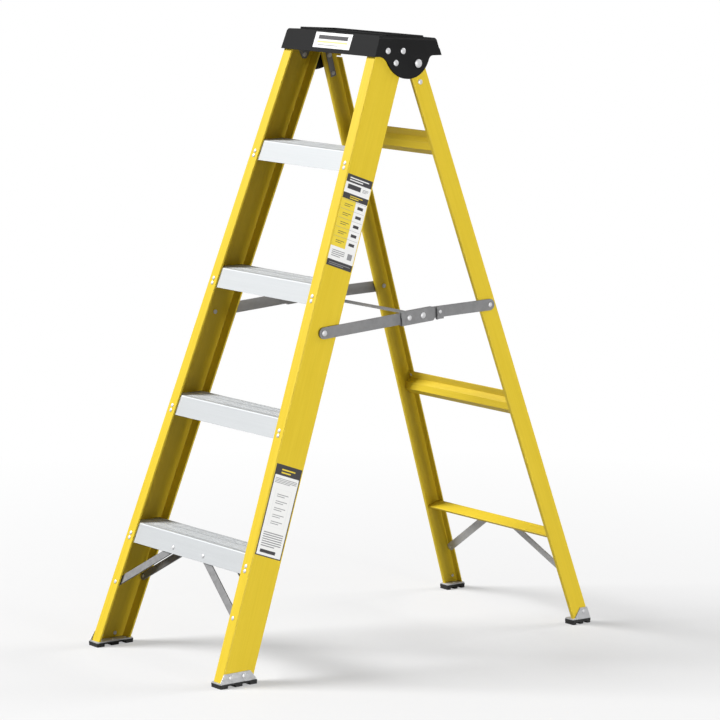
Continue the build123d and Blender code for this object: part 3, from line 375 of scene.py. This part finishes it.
class Print:
    """Plain printed blocks on a flat label. Both coordinates run from 0 to 1, up and to the right."""

    def __init__(self, node):
        self.paint = Paint("print_" + node)
        self.node = node
        up, right = self.directions()
        centre = middle(node)
        self.u, self.width = self.share(right, centre)
        self.v, self.height = self.share(up, centre)
        self.color = WHITE

    def directions(self):
        """The label's directions up and to the reader's right, from its own edges."""
        edges = outline_edges(self.node)
        first = edges[0].normalized()
        second = next(e.normalized() for e in edges if abs(e.normalized().dot(first)) < 0.1)
        if abs(first.z) < abs(second.z):
            first, second = second, first
        up = first if first.z > 0 else -first
        right = second if (second.x + second.y) > 0 else -second
        return up, right

    def share(self, axis, centre):
        """A coordinate from 0 to 1 across the label, and the label's size that way."""
        reach = [v.co.dot(axis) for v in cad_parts[self.node].data.vertices]
        size = max(reach) - min(reach)
        along = self.paint.distance_along(axis, centre)
        return self.paint.math("ADD", self.paint.math("DIVIDE", along, size), 0.5), size

    def inside(self, value, low, high):
        above = self.paint.math("GREATER_THAN", value, low)
        below = self.paint.math("LESS_THAN", value, high)
        return self.paint.math("MULTIPLY", above, below)

    def block(self, u0, u1, v0, v1, color):
        mask = self.paint.math("MULTIPLY", self.inside(self.u, u0, u1), self.inside(self.v, v0, v1))
        self.color = self.paint.mix(mask, self.color, color)

    def bars(self, u0, u1, v0, v1, count, color=LINE_GREY, fill=0.45):
        """Evenly spaced plain bars, the last one shorter, where a real label has small print."""
        pitch = (v1 - v0) / count
        for i in range(count):
            low = v0 + i * pitch
            end = u1 if i else u0 + 0.7 * (u1 - u0)
            self.block(u0, end, low, low + fill * pitch, color)

    def finish(self):
        paint = self.paint
        fibre = paint.noise(paint.place, 900, 2.0)
        aged = paint.mix(paint.remap(fibre, 0.3, 0.7, 0.0, 0.06), self.color, AGED_PAPER)
        normal = paint.bump(fibre, 0.02 * MM, 0.3)
        dress(paint.finish(aged, 0.36, normal), self.node)


def upper_label():
    """Dark head, a white panel, a dark band, a yellow column beside a white one, and a dark foot."""
    label = Print("label_upper")
    label.block(0.0, 1.0, 0.915, 1.0, INK)
    label.bars(0.12, 0.88, 0.935, 0.985, 2, WHITE)
    label.block(0.10, 0.62, 0.845, 0.895, INK)
    label.bars(0.70, 0.92, 0.850, 0.890, 3)
    label.block(0.0, 1.0, 0.735, 0.800, INK)
    label.bars(0.28, 0.78, 0.750, 0.790, 2, LABEL_YELLOW)
    label.block(0.0, 0.56, 0.215, 0.735, LABEL_YELLOW)
    for row in range(5):
        low = 0.240 + row * 0.100
        label.bars(0.14, 0.48, low + 0.02, low + 0.060, 2, INK, 0.3)
        label.block(0.04, 0.96, low + 0.083, low + 0.086, LINE_GREY)
        label.block(0.66, 0.88, low + 0.020, low + 0.052, INK)
    label.bars(0.10, 0.60, 0.110, 0.190, 4)
    label.block(0.72, 0.90, 0.115, 0.180, LINE_GREY)
    label.block(0.0, 1.0, 0.0, 0.070, INK)
    label.bars(0.08, 0.92, 0.018, 0.054, 2, LINE_GREY, 0.4)
    label.finish()


def lower_label():
    """Dark head over a white field with a thin dark border, and groups of plain bars."""
    label = Print("label_lower")
    label.block(0.0, 1.0, 0.0, 1.0, INK)
    label.block(0.035, 0.965, 0.012, 0.885, WHITE)
    label.bars(0.24, 0.76, 0.910, 0.975, 2, LABEL_YELLOW)
    label.bars(0.08, 0.92, 0.800, 0.862, 4)
    label.block(0.18, 0.82, 0.330, 0.740, FRAME_GREY)
    label.block(0.20, 0.80, 0.334, 0.736, WHITE)
    for row in range(5):
        low = 0.362 + row * 0.074
        label.bars(0.28, 0.72, low, low + 0.044, 2, LINE_GREY, 0.35)
    label.bars(0.12, 0.88, 0.110, 0.280, 7)
    label.block(0.14, 0.74, 0.040, 0.075, INK)
    label.finish()


def cap_label():
    """White plate with a broad dark bar, a pale green stripe and a thin line under it."""
    label = Print("label_cap")
    label.block(0.10, 0.90, 0.56, 0.82, INK)
    label.block(0.09, 0.91, 0.34, 0.44, STRIPE_GREEN)
    label.block(0.12, 0.66, 0.16, 0.21, LINE_GREY)
    label.finish()


def dress_rest():
    dress(cap_plastic(), "top_cap")
    rubber = foot_rubber()
    dress(rubber, *(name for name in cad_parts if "foot_pad" in name))
    dress(bush_nylon(), "hinge_bushes")
    upper_label()
    lower_label()
    cap_label()


# ---------------------------------------------------------------- studio
FLOOR_SIZE = 90.0
FLOOR_NEAR = 0.6            # where the floor starts to fade to white, and where it is white
FLOOR_FAR = 2.4
FLOOR_GLOW = 0.38           # how much white the camera sees in the floor close to the ladder
FLOOR_BOUNCE = (0.32, 0.32, 0.32)
FLOOR_DARK = (0.585, 0.585, 0.59)
FLOOR_LIGHT = (0.60, 0.60, 0.605)
WORLD_STRENGTH = 0.16
LIGHT_DISTANCE = 24.0
LIGHTS = (                  # name, azimuth, elevation, size, power
    ("key", -40, 42, 10.5, 9800),
    ("side", 90, 1, 2.6, 4250),
    ("rear", 165, 30, 9.6, 2800),
)
CAMERA_TURN = (52.60, 8.93, 0.19)       # azimuth, how far it looks down, and roll
CAMERA_PLACE = (6.4860, -4.9173, 1.9207)
CAMERA_SENSOR = 36.0
CAMERA_LENS = 180.07
CAMERA_REACH = 200.0


def floor_material(centre):
    """Pale grey near the ladder, fading to the backdrop's white further out.

    Only the camera sees it that bright: to the light that it throws back it is a darker grey.
    """
    paint = Paint("studio_floor")
    away = paint.nodes.new("ShaderNodeVectorMath")
    away.operation = "DISTANCE"
    paint.put(away.inputs[0], paint.place)
    paint.put(away.inputs[1], tuple(centre))
    seen = paint.nodes.new("ShaderNodeLightPath").outputs["Is Camera Ray"]
    fade = paint.remap(away.outputs["Value"], FLOOR_NEAR, FLOOR_FAR, FLOOR_GLOW, 1.0)
    fade = paint.math("MULTIPLY", seen, fade)
    mottle = paint.noise(paint.place, 40, 3.0)
    color = paint.mix(mottle, FLOOR_DARK, FLOOR_LIGHT)
    paint.finish(paint.mix(seen, FLOOR_BOUNCE, color), 0.7)
    glow = paint.nodes.new("ShaderNodeEmission")
    paint.put(glow.inputs["Color"], (1.0, 1.0, 1.0))
    blend = paint.nodes.new("ShaderNodeMixShader")
    paint.put(blend.inputs[0], fade)
    paint.put(blend.inputs[1], paint.shader.outputs[0])
    paint.put(blend.inputs[2], glow.outputs[0])
    paint.put(paint.nodes["Material Output"].inputs["Surface"], blend.outputs[0])
    return paint.block


def add_floor(centre):
    bpy.ops.mesh.primitive_plane_add(size=FLOOR_SIZE, location=(0, 0, 0))
    floor = bpy.context.object
    floor.name = "studio_floor"
    floor.data.materials.append(floor_material(centre))


def add_light(target, name, azimuth, elevation, size, power):
    """A square soft box. Azimuth 0 stands on the -Y side, 90 on the +X side."""
    data = bpy.data.lights.new(name, "AREA")
    data.shape = "SQUARE"
    data.size = size
    data.energy = power
    lamp = bpy.data.objects.new(name, data)
    bpy.context.scene.collection.objects.link(lamp)
    turn, rise = math.radians(azimuth), math.radians(elevation)
    away = Vector((math.sin(turn) * math.cos(rise), -math.cos(turn) * math.cos(rise), math.sin(rise)))
    lamp.location = target + away * LIGHT_DISTANCE
    lamp.rotation_euler = away.to_track_quat("Z", "Y").to_euler()


def add_world(strength):
    world = bpy.data.worlds.new("studio")
    bpy.context.scene.world = world
    world.use_nodes = True
    nodes, links = world.node_tree.nodes, world.node_tree.links
    light = nodes["Background"]
    light.inputs["Color"].default_value = (1.0, 1.0, 1.0, 1.0)
    light.inputs["Strength"].default_value = strength
    seen = nodes.new("ShaderNodeBackground")
    seen.inputs["Color"].default_value = (1.0, 1.0, 1.0, 1.0)
    ray = nodes.new("ShaderNodeLightPath")
    mix = nodes.new("ShaderNodeMixShader")
    links.new(ray.outputs["Is Camera Ray"], mix.inputs[0])
    links.new(light.outputs[0], mix.inputs[1])
    links.new(seen.outputs[0], mix.inputs[2])
    links.new(mix.outputs[0], nodes["World Output"].inputs["Surface"])


def add_camera():
    """A long lens to the climber's right and a little above the cap."""
    azimuth, drop, roll = (math.radians(angle) for angle in CAMERA_TURN)
    data = bpy.data.cameras.new("camera")
    data.sensor_width = CAMERA_SENSOR
    data.lens = CAMERA_LENS
    data.clip_end = CAMERA_REACH
    camera = bpy.data.objects.new("camera", data)
    bpy.context.scene.collection.objects.link(camera)
    camera.location = CAMERA_PLACE
    level = Vector((-math.sin(azimuth), math.cos(azimuth), 0))
    ahead = level * math.cos(drop) - Z_AXIS * math.sin(drop)
    turn = ahead.to_track_quat("-Z", "Y").to_matrix()
    camera.rotation_euler = turn.to_euler()
    camera.rotation_euler.rotate_axis("Z", roll)
    bpy.context.scene.camera = camera


def build_studio():
    low, high = (Vector(corner) for corner in cad_box)
    centre = (low + high) / 2
    add_floor(Vector((centre.x, centre.y, 0)))
    for light in LIGHTS:
        add_light(centre, *light)
    add_world(WORLD_STRENGTH)
    add_camera()
    bpy.context.scene.view_settings.view_transform = "Standard"


dress_fibreglass()
dress_metals()
dress_rest()
build_studio()
